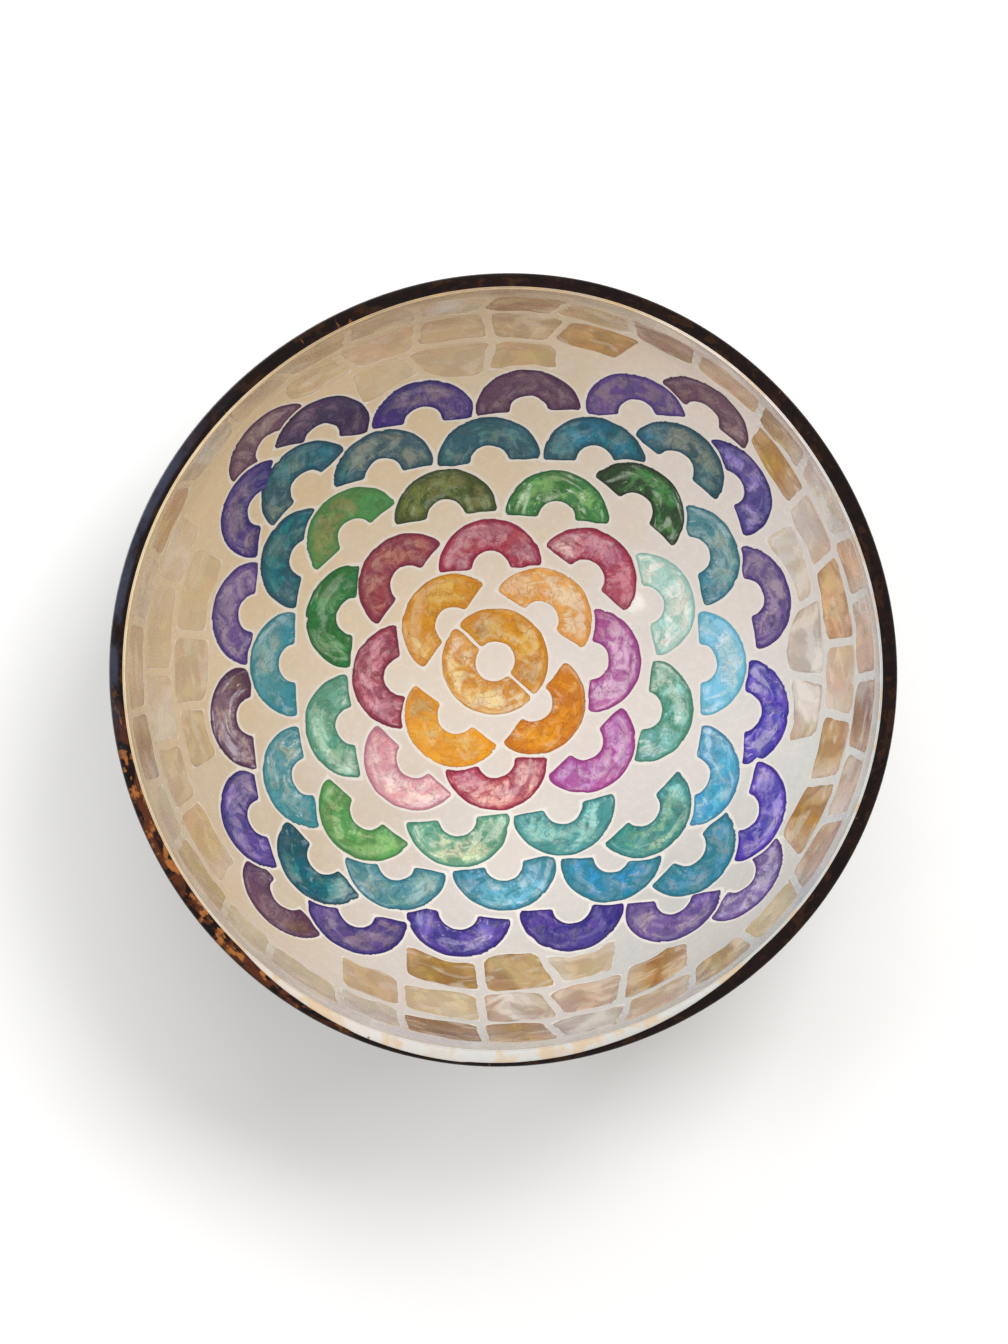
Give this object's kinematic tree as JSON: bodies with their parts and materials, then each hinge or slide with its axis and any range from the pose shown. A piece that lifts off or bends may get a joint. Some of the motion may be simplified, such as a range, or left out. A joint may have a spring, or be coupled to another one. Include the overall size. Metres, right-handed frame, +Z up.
{
  "type": "coconut shell bowl",
  "caption": "Half coconut shell bowl, lacquered cream inside and inlaid with rings of dyed shell half rings under a band of natural shell tiles.",
  "frame": {"origin": "where the hollow's axis meets the plane of the ground foot", "axes": "+Z up out of the bowl's mouth; +X to the right and +Y to the top of the pattern as it is seen from above"},
  "size_m": [0.135, 0.1352, 0.055],
  "materials": {
    "polished_coconut": "polished",
    "cream_lacquer": "gloss",
    "amber_shell": "gloss",
    "orange_shell": "gloss",
    "pink_shell": "gloss",
    "green_shell": "gloss",
    "teal_shell": "gloss",
    "purple_shell": "gloss",
    "natural_shell": "gloss"
  },
  "bodies": {
    "root": {"coconut_shell": "polished_coconut", "lacquer_base": "cream_lacquer", "lacquer_fill": "cream_lacquer", "middle_ring_upper": "amber_shell", "middle_ring_lower": "amber_shell", "orange_petal_1": "orange_shell", "orange_petal_2": "orange_shell", "orange_petal_3": "orange_shell", "orange_petal_4": "orange_shell", "pink_petal_1": "pink_shell", "pink_petal_2": "pink_shell", "pink_petal_3": "pink_shell", "pink_petal_4": "pink_shell", "pink_petal_5": "pink_shell", "pink_petal_6": "pink_shell", "pink_petal_7": "pink_shell", "pink_petal_8": "pink_shell", "green_petal_1": "green_shell", "green_petal_2": "green_shell", "green_petal_3": "green_shell", "green_petal_4": "green_shell", "green_petal_5": "green_shell", "green_petal_6": "green_shell", "green_petal_7": "green_shell", "green_petal_8": "green_shell", "green_petal_9": "green_shell", "green_petal_10": "green_shell", "green_petal_11": "green_shell", "green_petal_12": "green_shell", "teal_petal_1": "teal_shell", "teal_petal_2": "teal_shell", "teal_petal_3": "teal_shell", "teal_petal_4": "teal_shell", "teal_petal_5": "teal_shell", "teal_petal_6": "teal_shell", "teal_petal_7": "teal_shell", "teal_petal_8": "teal_shell", "teal_petal_9": "teal_shell", "teal_petal_10": "teal_shell", "teal_petal_11": "teal_shell", "teal_petal_12": "teal_shell", "teal_petal_13": "teal_shell", "teal_petal_14": "teal_shell", "teal_petal_15": "teal_shell", "teal_petal_16": "teal_shell", "purple_petals_1": "purple_shell", "purple_petals_2": "purple_shell", "purple_petals_3": "purple_shell", "purple_petals_4": "purple_shell", "shell_tiles_1": "natural_shell", "shell_tiles_2": "natural_shell", "shell_tiles_3": "natural_shell"}
  },
  "joints": []
}
